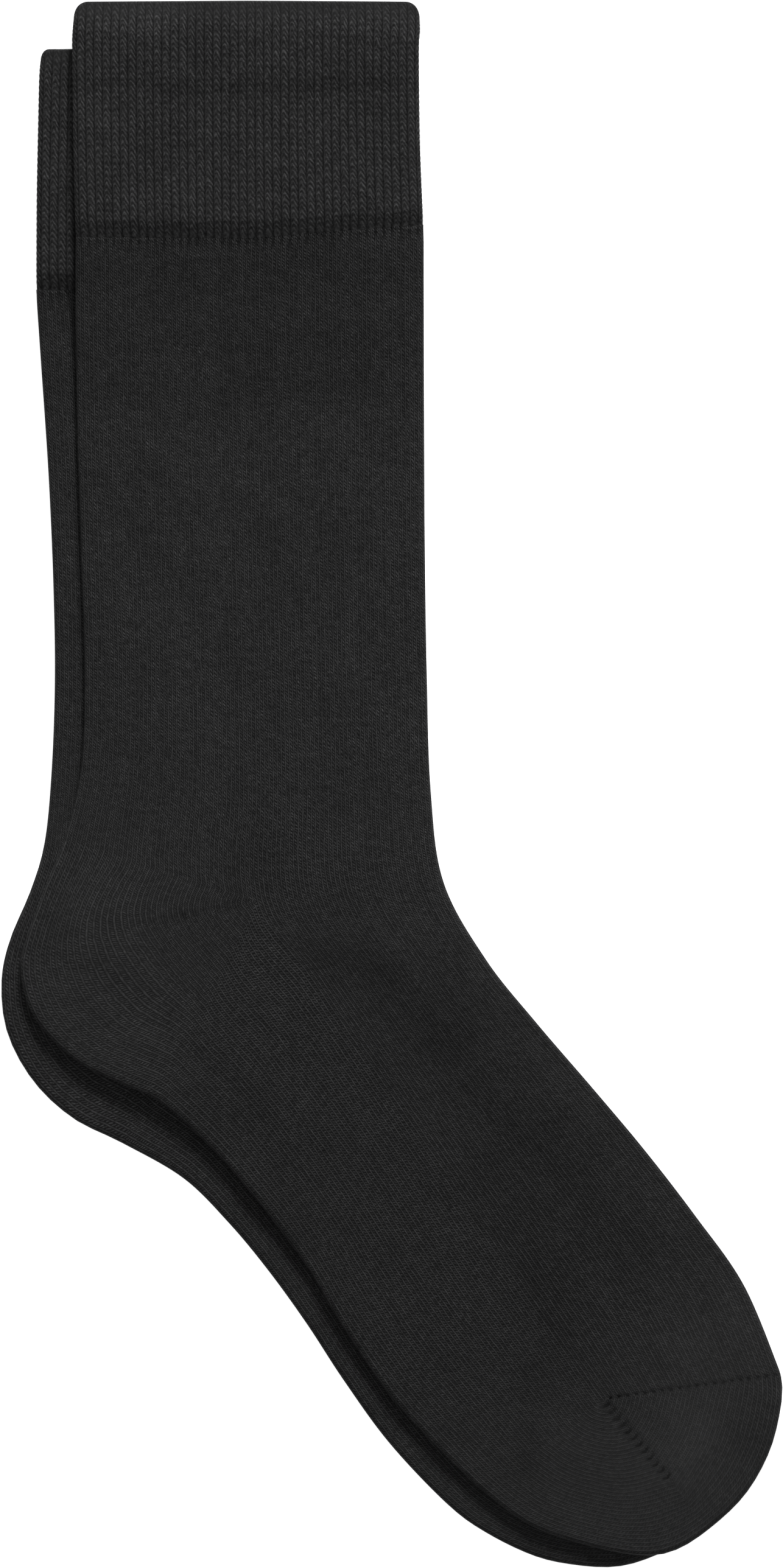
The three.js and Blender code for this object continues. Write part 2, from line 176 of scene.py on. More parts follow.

# Soft ridges of the cloth: start, end, half width, height, and how much painted light the knit gets
# there, painted shade where it is below zero.
RIDGES = [
    ((-88.0, 188.4), (-70.0, 189.5), 2.2, -0.15, -0.08),
    ((-62.0, 187.0), (8.0, 188.6), 2.6, -0.25, -0.13),
    ((-84.0, 178.5), (6.0, 177.5), 4.0, 0.05, 0.05),
    ((-56.0, 182.0), (-14.0, 184.0), 15.0, 0.00, -0.05),
    ((-52.0, 207.0), (-18.0, 207.0), 7.0, 0.00, -0.07),
    ((-78.0, 206.5), (-62.0, 203.0), 4.5, 0.05, 0.12),
    ((-84.0, 142.0), (6.0, 144.0), 5.0, 0.00, -0.06),
    ((-88.0, 134.0), (8.0, 134.0), 8.0, -0.38, -0.04),
    ((-88.0, 112.0), (8.0, 112.0), 7.0, 0.45, 0.00),
    ((-84.0, 122.0), (4.0, 124.0), 20.0, 0.00, -0.15),
    ((-84.0, 138.0), (6.0, 138.0), 9.0, 0.00, -0.06),
    ((-88.0, 118.7), (8.0, 118.7), 5.0, 0.00, 0.06),
    ((-72.0, 92.0), (-26.0, 82.0), 14.0, 0.00, -0.06),
    ((-42.0, 107.5), (-12.0, 108.5), 4.5, -0.10, -0.08),
    ((-79.6, 80.5), (-40.0, 27.7), 3.5, -0.22, -0.06),
    ((-72.0, 98.0), (-50.0, 78.0), 4.0, 0.22, 0.08),
    ((-56.0, 94.0), (-30.0, 72.0), 4.0, 0.20, 0.08),
    ((-36.0, 66.0), (-24.0, 46.0), 4.0, -0.18, -0.07),
    ((-32.0, 86.0), (-12.0, 98.0), 5.0, 0.15, 0.04),
    ((-20.0, 40.0), (4.0, 10.0), 7.0, 0.15, 0.03),
    ((-62.0, 20.0), (-30.0, -8.0), 6.0, 0.15, 0.03),
    ((-40.0, -2.0), (-36.0, -18.0), 4.0, -0.10, -0.04),
    ((-2.0, -38.0), (12.0, -41.0), 5.0, 0.15, 0.08),
    ((-22.0, -46.0), (0.0, -52.0), 4.0, -0.25, -0.14),
    ((-6.0, -54.0), (14.0, -71.0), 7.0, -0.30, -0.16),
    ((14.0, -72.0), (64.0, -126.0), 8.5, -0.28, -0.13),
    ((52.0, -104.0), (74.0, -130.0), 4.0, 0.10, 0.05),
    ((34.0, -62.0), (88.0, -132.0), 6.0, 0.00, -0.10),
    ((26.0, -106.0), (46.0, -140.0), 10.0, -0.12, -0.10),
    ((36.0, -134.0), (48.0, -158.0), 6.5, -0.15, -0.08),
    ((38.0, -160.0), (36.0, -186.0), 4.0, -0.15, -0.09),
    ((-50.0, -76.0), (-36.0, -90.0), 6.0, -0.20, -0.10),
    ((-97.0, -46.0), (-76.0, -53.0), 2.4, -0.15, -0.12),
]
# Low swellings: centre, half widths along X and Y, height, and how much painted light the knit gets
# there, painted shade where it is below zero.
SWELLINGS = [
    ((-78.0, -32.0), (18.0, 11.0), 0.50, 0.22),
    ((-92.0, -56.0), (7.0, 8.0), 0.20, 0.12),
    ((80.0, -151.0), (12.0, 7.0), 0.30, 0.24),
    ((81.0, -178.0), (10.0, 14.0), 0.35, 0.24),
    ((-60.0, 158.0), (12.0, 4.0), 0.05, 0.07),
    ((-18.0, 203.0), (20.0, 5.0), 0.00, 0.04),
    ((-20.0, -64.0), (22.0, 20.0), 0.25, 0.03),
    ((-6.0, -20.0), (18.0, 14.0), 0.00, 0.07),
]
# Where the knit is tighter and its stitches show less: centre, half widths along X and Y, and strength.
TIGHT = [
    ((73.0, -192.0), (42.0, 28.0), 0.60),
    ((90.0, -152.0), (20.0, 26.0), 0.35),
    ((-85.0, -46.0), (26.0, 36.0), 0.30),
]
# Slow waves over the whole cloth: wavelength, direction in degrees, height and phase.
WAVES = [
    (31.0, 20.0, 0.06, 0.4),
    (23.0, 75.0, 0.05, 2.1),
    (17.0, 130.0, 0.04, 4.0),
    (12.0, 50.0, 0.025, 1.3),
    (9.0, 160.0, 0.02, 5.2),
]
# Where the top sock stands off the lower one: centre, half widths along X and Y, and height.
LOFT = [
    ((-66.0, -82.0), (26.0, 15.0), 1.1),
    ((-40.0, -108.0), (12.0, 14.0), 0.5),
    ((-94.0, -56.0), (10.0, 14.0), 0.5),
]


def half_height(cloth):
    return cloth["wall"] + cloth["hollow"] / 2


def smooth(t):
    return (1 - np.cos(np.pi * np.clip(t, 0, 1))) / 2


def length_of(vectors):
    return np.linalg.norm(vectors, axis=-1)


def through(points, t):
    """A smooth curve through all the points, at places t counted in points."""
    points, t = np.asarray(points, float), np.asarray(t, float)
    last = len(points) - 1
    i = np.minimum(t.astype(int), last - 1)
    f = (t - i)[..., None]
    a, b, c, d = (points[np.clip(i + k, 0, last)] for k in (-1, 0, 1, 2))
    return b + 0.5 * f * (c - a + f * (2 * a - 5 * b + 4 * c - d + f * (3 * (b - c) + d - a)))


class Edges:
    """A sock's rear edge, which runs on from the leg to the toe, its middle wale and its front edge."""

    def __init__(self, sock):
        leg, foot = sock["leg"], sock["foot"]
        self.rear = (
            [row[0] for row in leg] + sock["heel"]["edge"][1:]
            + [row[0] for row in foot[1:]] + sock["toe"]["edge"][1:]
        )
        self.middle = [row[1] for row in leg + foot[1:]]
        self.front = [row[2] for row in leg + foot[1:]]
        self.heel = len(leg) - 1
        self.foot = self.heel + len(sock["heel"]["edge"]) - 1
        self.toe = self.foot + len(foot) - 1
        self.end = len(self.rear) - 1


def outline_of(sock):
    edges = Edges(sock)
    cuff = sock["cuff"][:-1]
    rear = [row[0] for row in cuff] + edges.rear
    front = edges.front[:-1][::-1] + [row[2] for row in cuff][::-1]
    return np.array(rear + front)


LOWER_OUTLINE = outline_of(LOWER_SOCK)
LOWER_CUFF_END = LOWER_SOCK["cuff"][-1][1][1]


def distance_outside(plan, outline):
    inside = np.zeros(plan.shape[:-1], bool)
    nearest = np.full(plan.shape[:-1], np.inf)
    for a, b in zip(outline, np.roll(outline, -1, axis=0)):
        side = b - a
        along = np.clip(((plan - a) @ side) / (side @ side), 0, 1)
        nearest = np.minimum(nearest, length_of(plan - a - along[..., None] * side))
        crosses = (a[1] > plan[..., 1]) != (b[1] > plan[..., 1])
        if side[1] != 0:
            inside ^= crosses & (plan[..., 0] < a[0] + (plan[..., 1] - a[1]) * side[0] / side[1])
    return np.where(inside, 0, nearest)


def on_table(plan):
    return np.zeros(plan.shape[:-1])


def on_lower_sock(plan):
    over_body = 2 * half_height(BODY) + LIE["clearance"]
    over_cuff = 2 * half_height(CUFF) + LIE["rib"] + LIE["clearance"]
    lip = smooth(1 + (plan[..., 1] - LOWER_CUFF_END + LIE["ease_start"]) / LIE["ease_length"])
    past = (distance_outside(plan, LOWER_OUTLINE) - LIE["sag_start"]) / LIE["sag_reach"]
    loft = sum(
        height * np.exp(-(((plan - centre) / size) ** 2).sum(-1)) for centre, size, height in LOFT
    )
    return over_body + (over_cuff - over_body) * lip - LIE["sag"] * smooth(past) + loft


def features(plan):
    """The ridges and swellings at each place, as height and as painted light and shade."""
    rise, painted_shading = np.zeros(plan.shape[:-1]), np.zeros(plan.shape[:-1])
    for start, end, width, height, lighter in RIDGES:
        start, side = np.array(start), np.subtract(end, start)
        along = ((plan - start) @ side) / (side @ side)
        off = plan - start - np.clip(along, 0, 1)[..., None] * side
        share = np.exp(-((length_of(off) / width) ** 2))
        rise, painted_shading = rise + height * share, painted_shading + lighter * share
    for centre, size, height, lighter in SWELLINGS:
        share = np.exp(-(((plan - centre) / size) ** 2).sum(-1))
        rise, painted_shading = rise + height * share, painted_shading + lighter * share
    return rise, painted_shading


def tightness(plan):
    return sum(share * np.exp(-(((plan - centre) / size) ** 2).sum(-1)) for centre, size, share in TIGHT)


def relaxed(plan):
    """How far the upper wall stands above its flat height: ridges, swellings and slow waves."""
    rise = features(plan)[0]
    for wavelength, turn, height, phase in WAVES:
        direction = np.array([np.cos(np.radians(turn)), np.sin(np.radians(turn))])
        rise += height * np.sin(plan @ direction * 2 * np.pi / wavelength + phase)
    return rise


def fold(length, part, half, radius):
    """Points from the fold (part 0) to the middle (part 1) of a wall whose flat length is given: the
    distance from the outline, the cosine and sine of the cloth's turn, which is flat at sine 1."""
    inset_of_wall = half - radius
    along = part * (length - inset_of_wall + (np.pi / 2 - 1) * radius)
    turn = np.minimum(along / radius, np.pi / 2)
    flat = np.maximum(along - radius * np.pi / 2, 0)
    inset = inset_of_wall + radius * (1 - np.cos(turn)) + flat
    return inset, np.cos(turn), np.sin(turn)


class Cloth:
    """A closed shell made of grids of points, with a place in the knit and a groove at every corner."""

    def __init__(self):
        self.points, self.knit, self.groove, self.faces, self.count = [], [], [], [], 0

    def patch(self, points, knit, groove, flip=False):
        rows, columns = points.shape[:2]
        ids = self.count + np.arange(rows * columns).reshape(rows, columns)
        quads = np.stack([ids[:-1, :-1], ids[:-1, 1:], ids[1:, 1:], ids[1:, :-1]], -1).reshape(-1, 4)
        self.faces += (quads[:, ::-1] if flip else quads).tolist()
        self.points.append(points.reshape(-1, 3))
        self.knit.append(np.broadcast_to(knit, points.shape[:2] + (2,)).reshape(-1, 2))
        self.groove.append(np.broadcast_to(groove, points.shape[:2]).reshape(-1))
        self.count += ids.size
        return ids

    def rim(self, outer, inner):
        """Joins two open rows of points, the outer and the inner one, by their places along the row."""
        i = k = 0
        while i < len(outer) - 1 or k < len(inner) - 1:
            next_outer = (i + 1) / (len(outer) - 1)
            next_inner = (k + 1) / (len(inner) - 1)
            if k == len(inner) - 1 or (i < len(outer) - 1 and next_outer <= next_inner):
                self.faces.append([outer[i], outer[i + 1], inner[k]])
                i += 1
            else:
                self.faces.append([outer[i], inner[k + 1], inner[k]])
                k += 1

    def build(self, name):
        points = np.concatenate(self.points) * MM
        mesh = bpy.data.meshes.new(name)
        mesh.from_pydata(points.tolist(), [], self.faces)
        corners = np.zeros(len(mesh.loops), int)
        mesh.loops.foreach_get("vertex_index", corners)
        plan = np.concatenate(self.points)[:, :2]
        # The groove layer's second channel carries the ridges' and swellings' painted light and shade.
        painted_shading, tight = features(plan)[1], tightness(plan)
        for layer_name, values in (
            ("knit", np.concatenate(self.knit)),
            ("groove", np.stack([np.concatenate(self.groove), painted_shading], -1)),
            ("tight", np.stack([tight, tight], -1)),
        ):
            layer = mesh.uv_layers.new(name=layer_name)
            layer.data.foreach_set("uv", values[corners].astype(np.float32).ravel())
        shape = bmesh.new()
        shape.from_mesh(mesh)
        bmesh.ops.remove_doubles(shape, verts=shape.verts, dist=WELD)
        bmesh.ops.recalc_face_normals(shape, faces=shape.faces)
        open_edges = sum(not edge.is_manifold for edge in shape.edges)
        print(f"{name}: {len(shape.faces)} faces, {open_edges} open edges")
        shape.to_mesh(mesh)
        shape.free()
        mesh.polygons.foreach_set("use_smooth", np.ones(len(mesh.polygons), bool))
        thing = bpy.data.objects.new(name, mesh)
        bpy.context.scene.collection.objects.link(thing)
        return thing


def half_tube(edge, middle, part, half, radius):
    """One half of each ring on one wall, from the fold (part 0) to the middle (part 1)."""
    side = middle - edge
    length = length_of(side)[:, None]
    inset, cosine, sine = fold(length, part, half, radius)
    plan = edge[:, None] + side[:, None] * (inset / length)[..., None]
    outward = np.broadcast_to((-side / length)[:, None], plan.shape)
    return {"plan": plan, "outward": outward, "cosine": cosine, "sine": sine, "inset": inset,
            "left": length - inset}


def placed(strip, level, under, half, radius, relief):
    """The points of a strip of wall, level 1 above the hollow and -1 below it."""
    plan = strip["plan"] + strip["outward"] * (relief * strip["cosine"])[..., None]
    reach = (radius + relief) * strip["sine"]
    upper_share = (1 + level * strip["sine"]) / 2
    height = under(plan) + half + level * reach + relaxed(plan) * upper_share
    return np.concatenate([plan, height[..., None]], -1)


def ring_strips(rear, middle, front, parts, half, radius):
    """The four strips round each ring: rear and front above the hollow, then front and rear below it."""
    upper, lower = parts
    return [
        (half_tube(rear, middle, upper, half, radius), 1),
        (half_tube(front, middle, upper[::-1], half, radius), 1),
        (half_tube(front, middle, lower, half, radius), -1),
        (half_tube(rear, middle, lower[::-1], half, radius), -1),
    ]


def ring_wales(parts, half_count):
    upper, lower = parts
    return [
        half_count * upper,
        half_count * (2 - upper[::-1]),
        half_count * (2 + lower),
        half_count * (4 - lower[::-1]),
    ]


def tube(cloth_mesh, rings, parts, half, radius, under, courses, half_count, relief_of, groove_of, flip):
    """Adds the wall of a tube through rings, each a rear, middle and front point. Half the tube's height
    and the wall's radius may differ from ring to ring. Returns the first and last rows of its points."""
    rear, middle, front = rings
    half = np.broadcast_to(np.reshape(half, (-1, 1)), (len(rear), 1))
    radius = np.broadcast_to(np.reshape(radius, (-1, 1)), (len(rear), 1))
    points, wales, grooves = [], [], []
    for i, ((strip, level), wale) in enumerate(
        zip(ring_strips(rear, middle, front, parts, half, radius), ring_wales(parts, half_count))
    ):
        columns = slice(1 if i else 0, None)
        front_half = i in (1, 2)
        groove = groove_of(strip, front_half)
        relief = relief_of(wale[None, :], courses[:, None], groove)
        points.append(placed(strip, level, under, half, radius, relief)[:, columns])
        wales.append(wale[columns])
        grooves.append(np.broadcast_to(groove, strip["left"].shape)[:, columns])
    points = np.concatenate(points, axis=1)
    wale = np.broadcast_to(np.concatenate(wales)[None, :], points.shape[:2])
    course = np.broadcast_to(courses[:, None], points.shape[:2])
    ids = cloth_mesh.patch(points, np.stack([wale, course], -1), np.concatenate(grooves, axis=1), flip)
    return ids[0], ids[-1]


class Pocket:
    """A heel or toe pocket in polar places: a turn from 0 to 1 between its two ends about the pivot."""

    def __init__(self, rows, edge_curve, kind):
        self.pivot = np.array(rows["pivot"])
        self.reach = GORE_REACH[kind]
        self.crowding = CROWDING[kind]
        self.courses = POCKET_COURSES[kind]
        first, last = self.angle(np.array([edge_curve[0], edge_curve[-1]]))
        self.start, self.span = first, (last - first) % (2 * np.pi)
        before, after = self.chords(rows["before_gore"], rows["after_gore"], kind == "heel")
        self.edge_table = self.polar(edge_curve)
        self.chord_table = self.polar(np.concatenate([before, after[1:]]))
        self.gore = round(float(self.turn_of(after[:1])[0]), 6)

    def chords(self, before, after, rounded):
        """The run of a wale before and after the gore, with a corner or rounded between the two."""
        if rounded:
            last = len(before) + len(after) - 2
            chord = through(before + after[1:], np.linspace(0, last, CHORD_STEPS * last + 1))
            corner = CHORD_STEPS * (len(before) - 1)
            return chord[: corner + 1], chord[corner:]
        return [
            through(points, np.linspace(0, len(points) - 1, CHORD_STEPS)) for points in (before, after)
        ]

    def angle(self, plan):
        off = plan - self.pivot
        return np.arctan2(off[..., 1], off[..., 0])

    def turn_of(self, plan):
        return ((self.angle(plan) - self.start + 0.5) % (2 * np.pi) - 0.5) / self.span

    def polar(self, curve):
        return self.turn_of(curve), length_of(curve - self.pivot)

    def strip(self, turns, part, half, radius):
        """One wall of the pocket, from the fold (part 0) to the pivot (part 1), for each turn."""
        edge = np.interp(turns, *self.edge_table)[:, None]
        chord = np.interp(turns, *self.chord_table)[:, None]
        inset, cosine, sine = fold(edge, part, half, radius)
        out = 1 - inset / edge
        ends = (smooth(turns / 0.3) * smooth((1 - turns) / 0.3))[:, None]
        outer = np.clip((out - self.reach) / (1 - self.reach), 0, 1)
        spread = out + self.crowding * ends * (1 - np.cos(2 * np.pi * outer)) / 2
        reach = spread * (chord + (edge - chord) * smooth((spread - self.reach) / (1 - self.reach)))
        angle = self.start + self.span * turns
        direction = np.stack([np.cos(angle), np.sin(angle)], -1)[:, None]
        plan = self.pivot + direction * reach[..., None]
        return {"plan": plan, "outward": np.broadcast_to(direction, plan.shape), "cosine": cosine,
                "sine": sine, "inset": inset, "left": edge - inset, "out": out, "reach": reach}

    def course_of(self, turns, out, base, after):
        """The course at each place. Rows get shorter up to the gore and longer again after it."""
        rows = np.minimum(out / self.reach, 1)
        if after:
            return base - rows * self.courses[1] * ((1 - turns) / (1 - self.gore))[:, None]
        return base + rows * self.courses[0] * (turns / self.gore)[:, None]


def pocket_walls(cloth_mesh, pocket, turns, parts, half, radius, under, base, relief_of, groove_of, flip):
    upper, lower = parts
    before = turns <= pocket.gore + 1e-9
    after = turns >= pocket.gore - 1e-9
    for chosen, is_after in ((before, False), (after, True)):
        some = turns[chosen]
        points, knit, grooves = [], [], []
        for part, level in ((upper[::-1], 1), (lower[1:], -1)):
            strip = pocket.strip(some, part, half, radius)
            course = pocket.course_of(some, strip["out"], base, is_after)
            wale = np.broadcast_to(HALF_WALES * part * level, course.shape)
            groove = groove_of(pocket, some, strip)
            relief = relief_of(wale, course, groove)
            points.append(placed(strip, level, under, half, radius, relief))
            knit.append(np.stack([wale, course], -1))
            grooves.append(groove)
        cloth_mesh.patch(
            np.concatenate(points, axis=1),
            np.concatenate(knit, axis=1),
            np.concatenate(grooves, axis=1),
            flip,
        )


def body_relief(wale, course, groove):
    """Fine ridges along the wales, and a furrow along seams."""
    ridge = np.abs(((wale + 0.5) % 1) - 0.5)
    return WALE_RELIEF * (0.5 - 2 * ridge) - FURROW_DEPTH * groove


def column_offset(column):
    """A small shift of each column's stitches, the same each time."""
    return ((np.sin(column * SCATTER_TURN) * SCATTER_SCALE) % 1) * COLUMN_SHIFT


def cuff_relief(wale, course, groove):
    """Broad rounded columns of stitches whose two arms point up to the column's middle."""
    column = np.floor(wale)
    across = np.abs(2 * (wale - column) - 1)
    dome = np.sqrt(np.clip(1 - across**2.6, 0, 1))
    arm = course - 0.85 * across + column_offset(column)
    stitch = (0.5 + 0.5 * np.cos(2 * np.pi * arm)) ** 0.8
    return CUFF_RELIEF * (dome * (0.62 + 0.38 * stitch) - 0.8)


def no_relief(wale, course, groove):
    return 0 * wale + 0 * course


def no_groove(strip, front_half):
    return np.zeros(strip["left"].shape)


def no_pocket_groove(pocket, turns, strip):
    return np.zeros(strip["left"].shape)


def spaced(total, step, first=(), last=()):
    """Places along a length, closer together near its ends where asked."""
    inner = np.linspace(0, total, int(total / step) + 1)
    places = np.concatenate([inner, np.array(first), total - np.array(last)])
    return np.unique(np.round(places, 4))


def rings_at(edges, first, last, rear_shift, step, near_first=(), near_last=()):
    """Rear, middle and front points of rings between two rows, and their distance along the middle."""
    index = np.linspace(first, last, CURVE_STEPS)
    middle = through(edges.middle, index)
    along = np.concatenate([[0], np.cumsum(length_of(np.diff(middle, axis=0)))])
    places = spaced(along[-1], step, near_first, near_last)
    index = np.interp(places, along, index)
    rings = (
        through(edges.rear, index + rear_shift),
        through(edges.middle, index),
        through(edges.front, index),
    )
    return rings, places


# Where the cuff and the leg are knitted on, each reaches this far into the other.
OVERLAP = 0.9
# The cuff gets as thin as the leg over this length.
TUCK = 5.5
# Its last edge dips into the leg, while the columns still stand out a little there.
END_DROP = 0.35
END_RELIEF = 0.1
# Lengths over which the cuff's stitches rise at the mouth and sink at the leg, and over which the
# middles of its columns run on.
MOUTH_RISE = 7.0
END_FADE = 3.0
END_RUN = 2.5
# Extra rings before the cuff's end, rings round its lip and rings along its inner face.
END_PLACES = (0.25, 0.5, 0.75, 1.0)
LIP_RINGS = 5
INNER_CUFF_STEP = 6.0
# The rounding of the mouth's corners fades out over this many radii.
CORNER_FADE = 2.5
# Some of the cuff's columns end a little further into the leg: 31 waves round the whole cuff.
UNEVEN_ENDS = 2 * np.pi * 31 / (4 * HALF_COLUMNS)
FUZZ_REACH = 1.1
# Furrows where the cuff runs into the leg: strength and half width on either side. The materials also
# darken them, a painted shade in the furrows.
CUFF_FURROW = (0.6, 1.8)
LEG_FURROW = (0.75, 2.0)
# Extra rings beside a seam, and extra turns beside a gore and beside the seam at a pocket's end.
SEAM_SIDE = (0.35, 0.8, 1.4)
GORE_SIDE = (0.006, 0.014, 0.026)
SEAM_TURNS = (0.008, 0.02)
SEAM_WIDTH = 0.55
GORE_WIDTH = 1.5
GORE_DEPTH = {"heel": 0.35, "toe": 0.75}


def with_fuzz_and_sheen(groove_of, patches):
    """Furrows, and loose fibres standing a little proud on the folds where the sock has them, with a
    lighter colour that is a painted sheen.
    """

    def both(*place):
        strip = place[-1] if isinstance(place[-1], dict) else place[0]
        on_fold = np.exp(-((strip["inset"] / FUZZ_REACH) ** 2))
        fuzz_and_sheen = sum(
            share * np.exp(-(((strip["plan"] - centre) / size) ** 2).sum(-1))
            for centre, size, share in patches
        )
        return groove_of(*place) - on_fold * fuzz_and_sheen

    return both


def seam_depth(from_pivot):
    """The toe's seam starts deep a little way from the pivot and gets shallower towards the edge."""
    return smooth(from_pivot / 2) * (0.8 + 0.6 * np.exp(-from_pivot / 7))


def end_furrow(away, strength, width):
    """A furrow round the whole tube, at rings whose distance from the cuff's end is given."""
    depth = strength * np.exp(-((np.maximum(away, 0) / width) ** 2))[:, None]
    return lambda strip, front_half: np.broadcast_to(depth, strip["left"].shape)


def seam_groove(away):
    """The toe's seam across the front half, at rings whose distance from the seam is given."""
    seam = np.exp(-((away / SEAM_WIDTH) ** 2))[:, None]
    return lambda strip, front_half: (
        seam * seam_depth(strip["left"]) if front_half else 0 * strip["left"]
    )


def gore_groove(pocket, turns, strip, depth=GORE_DEPTH["heel"]):
    away = np.abs(turns - pocket.gore)[:, None] * pocket.span * strip["reach"]
    along = strip["out"] / pocket.reach
    strength = smooth((1.04 - along) / 0.12) * smooth(along / 0.05)
    inside = smooth(turns / 0.2) * smooth((1 - turns) / 0.2)
    return depth * strength * inside[:, None] * np.exp(-((away / GORE_WIDTH) ** 4))


def toe_groove(pocket, turns, strip):
    away = (1 - turns)[:, None] * pocket.span * strip["reach"]
    seam = np.exp(-((away / SEAM_WIDTH) ** 2)) * seam_depth(strip["left"]) * smooth(turns / 0.2)[:, None]
    return np.maximum(gore_groove(pocket, turns, strip, GORE_DEPTH["toe"]), seam)


def pocket_turns(pocket, count, seam):
    turns = np.linspace(0, 1, count)
    turns = turns[np.abs(turns - pocket.gore) > 0.01]
    near = [pocket.gore] + [pocket.gore + s * g for s in (-1, 1) for g in GORE_SIDE]
    if seam:
        near += [1 - turn for turn in SEAM_TURNS]
    return np.unique(np.round(np.concatenate([turns, near]), 6))


def body(name, sock, under, per_wale, step):
    """Leg, heel pocket, foot and toe pocket of one sock, as one piece of cloth with its inner face."""
    edges = Edges(sock)
    cloth_mesh = Cloth()
    upper = np.linspace(0, 1, HALF_WALES * per_wale + 1)
    near_fold, whole_wales = np.linspace(0, 3, 7), np.arange(4, HALF_WALES + 1)
    lower = np.concatenate([near_fold, whole_wales]) / HALF_WALES
    half = half_height(BODY)
    outer_face = {"radius": half, "parts": (upper, lower), "step": step,
                  "relief": body_relief, "flip": False, "rays": (24, 34)}
    inner_face = {"radius": BODY["hollow"] / 2, "parts": (COARSE, COARSE), "step": 3 * step,
                  "relief": no_relief, "flip": True, "rays": (14, 18)}
    mouths = []
    for face in (outer_face, inner_face):
        outer = face is outer_face
        parts, radius, flip = face["parts"], face["radius"], face["flip"]
        start = -OVERLAP / length_of(np.subtract(edges.middle[1], edges.middle[0]))
        leg, leg_places = rings_at(
            edges, start, edges.heel, 0, face["step"], near_first=[OVERLAP + s for s in (0,) + SEAM_SIDE]
        )
        foot, foot_places = rings_at(
            edges, edges.heel, len(edges.middle) - 1, edges.foot - edges.heel, face["step"],
            near_last=SEAM_SIDE,
        )
        leg_groove, foot_groove = no_groove, no_groove
        if outer:
            leg_groove = with_fuzz_and_sheen(end_furrow(leg_places - OVERLAP, *LEG_FURROW), sock["fuzz_and_sheen"])
            foot_groove = with_fuzz_and_sheen(seam_groove(foot_places[-1] - foot_places), sock["fuzz_and_sheen"])
        leg_end = leg_places[-1] / COURSE
        foot_end = leg_end + foot_places[-1] / COURSE
        common = (parts, half, radius, under)
        first, _ = tube(cloth_mesh, leg, *common, leg_places / COURSE, HALF_WALES,
                        face["relief"], leg_groove, flip)
        tube(cloth_mesh, foot, *common, leg_end + foot_places / COURSE, HALF_WALES,
             face["relief"], foot_groove, flip)
        mouths.append(first)
        for kind, start, end, base, rays in (
            ("heel", edges.heel, edges.foot, leg_end, face["rays"][0]),
            ("toe", edges.toe, edges.end, foot_end, face["rays"][1]),
        ):
            edge_curve = through(edges.rear, np.linspace(start, end, CURVE_STEPS))
            pocket = Pocket(sock[kind], edge_curve, kind)
            turns = pocket_turns(pocket, rays, kind == "toe")
            groove_of = no_pocket_groove
            if outer:
                groove_of = with_fuzz_and_sheen({"heel": gore_groove, "toe": toe_groove}[kind], sock["fuzz_and_sheen"])
            pocket_walls(cloth_mesh, pocket, turns, parts, half, radius, under, base,
                         face["relief"], groove_of, flip)
    cloth_mesh.rim(*mouths)
    return cloth_mesh.build(name)


def cuff(name, sock, under, per_column):
    """The welt of one sock: two thick walls of broad columns, with a rounded edge at the mouth."""
    rows = np.array(sock["cuff"], float)
    last_row = len(rows) - 1 + OVERLAP / length_of(rows[-1, 1] - rows[-2, 1])
    index = np.linspace(0, last_row, CURVE_STEPS)
    dense = through(rows.reshape(len(rows), -1), index).reshape(-1, 3, 2)
    along = np.concatenate([[0], np.cumsum(length_of(np.diff(dense[:, 1], axis=0)))])
    total = along[-1] - OVERLAP
    cloth_mesh = Cloth()
    half, hollow = half_height(CUFF), CUFF["hollow"] / 2
    round_off = CUFF["wall"] / 2
    upper = np.linspace(0, 1, HALF_COLUMNS * per_column + 1)
    lower = np.linspace(0, 1, HALF_COLUMNS * 3 + 1)
    lip = round_off * (1 - np.cos(np.linspace(0, np.pi / 2, LIP_RINGS)))
    mouths, ends = [], []
    for outer in (True, False):
        places = spaced(along[-1], CUFF_COURSE / 4 if outer else INNER_CUFF_STEP, lip, END_PLACES)
        at = np.stack([np.interp(places, along, dense[:, i, k]) for i in range(3) for k in range(2)], -1)
        rings = at.reshape(-1, 3, 2).transpose(1, 0, 2)
        in_lip = np.clip(1 - places / round_off, 0, 1)
        swell = round_off * np.sqrt(1 - in_lip**2)
        tuck = np.clip((places - total + TUCK) / TUCK, 0, 1)
        settle = (half - half_height(BODY)) * smooth(tuck)
        radius = hollow + round_off - swell
        if outer:
            radius = hollow + round_off + swell - settle - END_DROP * np.maximum(places - total, 0)
        parts = (upper, lower) if outer else (COARSE, COARSE)
        corner = sock["corner_radius"]
        fade = np.clip(1 - places / (CORNER_FADE * corner), 0, 1)
        lowered = corner_lowering(under, rings, fade, corner)
        relief = edge_faded(cuff_relief, places, total) if outer else no_relief
        groove = end_furrow(total - places, *CUFF_FURROW) if outer else no_groove
        first, last = tube(cloth_mesh, rings, parts, half - settle, radius, lowered,
                           places / CUFF_COURSE, HALF_COLUMNS, relief, groove, not outer)
        mouths.append(first)
        ends.append(last)
        drop_corners(cloth_mesh, rings, fade, corner)
    cloth_mesh.rim(*mouths)
    cloth_mesh.rim(*[row[::-1] for row in ends])
    return cloth_mesh.build(name)


def corner_lowering(under, rings, fade, radius):
    """The height under a point of the cuff, taken where the rounded corner puts it."""
    return lambda plan: under(with_corners(plan, rings, fade, radius))


def with_corners(plan, rings, fade, radius):
    """Places in plan with the mouth's corners rounded by moving them down beside both edges."""
    rear, _, front = rings
    across = np.minimum(plan[..., 0] - rear[:, 0, None], front[:, 0, None] - plan[..., 0])
    inside = np.clip(radius - across, 0, radius)
    drop = radius - np.sqrt(radius**2 - inside**2)
    return np.stack([plan[..., 0], plan[..., 1] - drop * fade[:, None]], -1)


def drop_corners(cloth_mesh, rings, fade, radius):
    points = cloth_mesh.points[-1].reshape(len(fade), -1, 3)
    points[..., :2] = with_corners(points[..., :2], rings, fade, radius)


